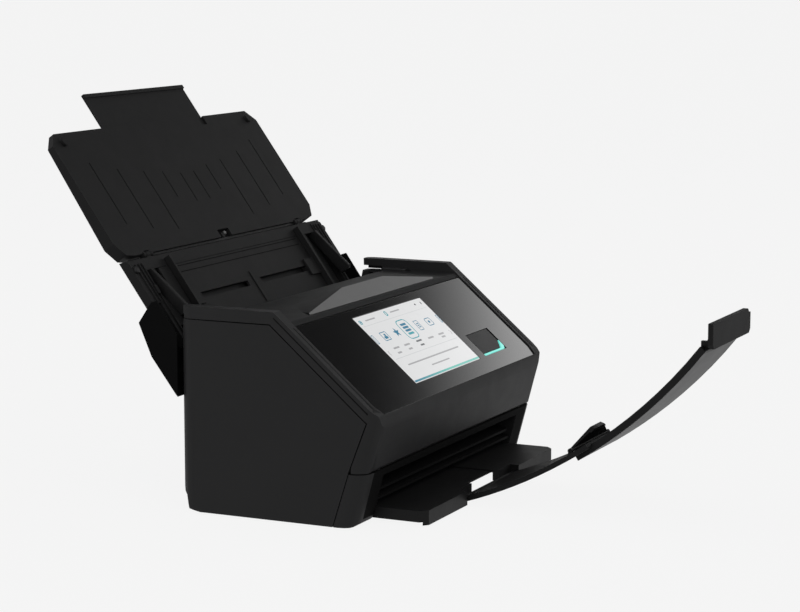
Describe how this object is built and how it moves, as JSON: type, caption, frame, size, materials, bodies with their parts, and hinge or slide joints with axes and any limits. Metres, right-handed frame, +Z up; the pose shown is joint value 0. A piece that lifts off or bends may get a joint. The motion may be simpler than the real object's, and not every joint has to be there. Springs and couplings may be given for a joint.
{
  "type": "document scanner",
  "caption": "Desktop sheet-fed document scanner with a fold-out paper chute, a sloping touch screen, a lifting cover over its rollers and a telescopic curved stacker.",
  "frame": {"origin": "on the desk that the four foot pads stand on, in the middle of the body's width and of the body's depth", "axes": "+Z up, -Y to the front where the paper leaves, +X to the right seen from the front"},
  "size_m": [0.293, 0.4712, 0.2814],
  "materials": {
    "body_black": "fine-grained moulded shell",
    "tray_black": "fine-grained moulded tray",
    "hopper_black": "fine-grained moulded hopper",
    "key_grey": "dark grey latch",
    "guide_black": "smooth paper guide",
    "panel_gloss": "polished black front panel",
    "screen": "colour touch screen",
    "button": "printed key cap",
    "light_guide": "lit teal light guide",
    "board_green": "populated circuit board",
    "frame_steel": "pressed steel",
    "shaft_steel": "ground steel shaft",
    "roller_rubber": "ground rubber sleeve",
    "roller_grey": "smooth grey roller",
    "gear_white": "acetal gear",
    "belt_black": "toothed belt",
    "glass_clear": "scanning glass",
    "foot_rubber": "soft foot pad",
    "socket_metal": "socket shell",
    "motor_metal": "motor can"
  },
  "bodies": {
    "base": {"bottom_cover": "body_black", "front_left_foot": "foot_rubber", "front_right_foot": "foot_rubber", "rear_left_foot": "foot_rubber", "rear_right_foot": "foot_rubber", "left_side_panel": "body_black", "right_side_panel": "body_black", "front_frame": "body_black", "rear_cover": "body_black", "chute_rear_housing": "body_black", "lower_guide": "guide_black", "left_frame_plate": "frame_steel", "right_frame_plate": "frame_steel", "rear_sensor_unit": "guide_black", "rear_sensor_glass": "glass_clear", "feed_motor": "motor_metal", "drive_belt": "belt_black", "main_board": "board_green", "power_inlet": "socket_metal", "usb_socket": "socket_metal"},
    "feed_shaft": {"feed_shaft": "shaft_steel", "feed_roller": "roller_rubber", "feed_gear": "gear_white"},
    "pick_shaft": {"pick_shaft": "shaft_steel", "pick_roller": "roller_rubber"},
    "eject_shaft": {"eject_shaft": "shaft_steel", "eject_roller": "roller_rubber"},
    "motor_pinion": {"motor_pinion": "gear_white"},
    "adf_cover": {"cover_shell": "body_black", "glossy_panel": "panel_gloss", "screen_display": "screen", "button_light_guide": "light_guide", "control_board": "board_green", "top_deck": "body_black", "upper_guide": "guide_black", "front_sensor_unit": "guide_black", "front_sensor_glass": "glass_clear"},
    "scan_button": {"scan_button": "button"},
    "cover_release_lever": {"cover_release_lever": "key_grey"},
    "brake_roller": {"brake_roller": "roller_rubber"},
    "feed_idler": {"feed_idler": "roller_grey"},
    "eject_idler": {"eject_idler": "roller_grey"},
    "hopper": {"hopper_frame": "hopper_black", "hopper_plate": "hopper_black", "left_stay_arm": "hopper_black", "right_stay_arm": "hopper_black"},
    "left_side_guide": {"left_side_guide": "hopper_black"},
    "right_side_guide": {"right_side_guide": "hopper_black"},
    "guide_pinion": {"guide_pinion": "gear_white"},
    "chute_cover": {"chute_cover": "body_black"},
    "chute_extension": {"chute_extension": "body_black"},
    "stacker_tray": {"stacker_tray": "tray_black"},
    "stacker_extension_1": {"stacker_extension_1": "tray_black"},
    "stacker_extension_2": {"stacker_extension_2": "tray_black"},
    "middle_stopper": {"middle_stopper": "tray_black"},
    "end_stopper": {"end_stopper": "tray_black"}
  },
  "joints": [
    {"name": "adf_cover_hinge", "type": "hinge", "parent": "base", "child": "adf_cover", "pos_m": [0, -0.0655, 0.0412], "axis": [-1, 0, 0], "range_deg": [-55, 0]},
    {"name": "scan_button_press", "type": "slide", "parent": "adf_cover", "child": "scan_button", "axis": [0, 0.65, -0.7599], "range_m": [0, 0.0008], "stiffness_N_per_m": 500, "springref_m": -0.0005},
    {"name": "release_lever_pull", "type": "slide", "parent": "adf_cover", "child": "cover_release_lever", "axis": [0, -1, 0], "range_m": [0, 0.003], "stiffness_N_per_m": 300, "springref_m": -0.001},
    {"name": "brake_spin", "type": "hinge", "parent": "adf_cover", "child": "brake_roller", "pos_m": [0, 0.04667, 0.08828], "axis": [1, 0, 0], "continuous": true},
    {"name": "feed_idler_spin", "type": "hinge", "parent": "adf_cover", "child": "feed_idler", "pos_m": [0, 0.02797, 0.05884], "axis": [1, 0, 0], "continuous": true},
    {"name": "eject_idler_spin", "type": "hinge", "parent": "adf_cover", "child": "eject_idler", "pos_m": [0, -0.03107, 0.03146], "axis": [1, 0, 0], "continuous": true},
    {"name": "feed_spin", "type": "hinge", "parent": "base", "child": "feed_shaft", "pos_m": [0, 0.03682, 0.0503], "axis": [1, 0, 0], "continuous": true},
    {"name": "pick_spin", "type": "hinge", "parent": "base", "child": "pick_shaft", "pos_m": [0, 0.06067, 0.07811], "axis": [1, 0, 0], "continuous": true},
    {"name": "eject_spin", "type": "hinge", "parent": "base", "child": "eject_shaft", "pos_m": [0, -0.0286, 0.01982], "axis": [1, 0, 0], "continuous": true},
    {"name": "motor_spin", "type": "hinge", "parent": "base", "child": "motor_pinion", "pos_m": [0, 0.05095, 0.02583], "axis": [1, 0, 0], "continuous": true},
    {"name": "chute_cover_fold", "type": "hinge", "parent": "hopper", "child": "chute_cover", "pos_m": [0, 0.11991, 0.17351], "axis": [1, 0, 0], "range_deg": [0, 126]},
    {"name": "hopper_lift", "type": "slide", "parent": "base", "child": "hopper", "axis": [0, -0.5878, -0.809], "range_m": [0, 0.031]},
    {"name": "chute_extension_slide", "type": "slide", "parent": "chute_cover", "child": "chute_extension", "axis": [0, -0.5878, -0.809], "range_m": [0, 0.026]},
    {"name": "right_guide_slide", "type": "slide", "parent": "hopper", "child": "right_side_guide", "axis": [-1, 0, 0], "range_m": [0, 0.072]},
    {"name": "left_guide_slide", "type": "slide", "parent": "hopper", "child": "left_side_guide", "axis": [1, 0, 0], "range_m": [0, 0.072]},
    {"name": "guide_pinion_spin", "type": "hinge", "parent": "hopper", "child": "guide_pinion", "pos_m": [0, 0.09559, 0.14174], "axis": [0, -0.809, 0.5878], "range_deg": [0, 1033]},
    {"name": "stacker_tray_slide", "type": "slide", "parent": "base", "child": "stacker_tray", "axis": [0, 1, 0], "range_m": [0, 0.045]},
    {"name": "extension_1_tilt", "type": "hinge", "parent": "stacker_tray", "child": "stacker_extension_1", "pos_m": [0, -0.0934, 0.0045], "axis": [1, 0, 0], "range_deg": [0, 15]},
    {"name": "extension_2_slide", "type": "hinge", "parent": "stacker_extension_1", "child": "stacker_extension_2", "pos_m": [0, 0.0165, 0.337], "axis": [1, 0, 0], "range_deg": [0, 10.5]},
    {"name": "middle_stopper_fold", "type": "hinge", "parent": "stacker_extension_1", "child": "middle_stopper", "pos_m": [0, -0.1696, 0.0445], "axis": [1, 0, 0], "range_deg": [-138, 20]},
    {"name": "end_stopper_fold", "type": "hinge", "parent": "stacker_extension_2", "child": "end_stopper", "pos_m": [0, -0.2656, 0.1264], "axis": [-1, 0, 0], "range_deg": [0, 60]}
  ],
  "couplings": [
    {"joint": "pick_spin", "follows": "feed_spin", "ratio": 1},
    {"joint": "eject_spin", "follows": "feed_spin", "ratio": 1},
    {"joint": "motor_spin", "follows": "feed_spin", "ratio": -3},
    {"joint": "hopper_lift", "follows": "chute_cover_fold", "m_per_rad": 0.014097},
    {"joint": "left_guide_slide", "follows": "right_guide_slide", "ratio": 1},
    {"joint": "guide_pinion_spin", "follows": "right_guide_slide", "rad_per_m": 250}
  ]
}
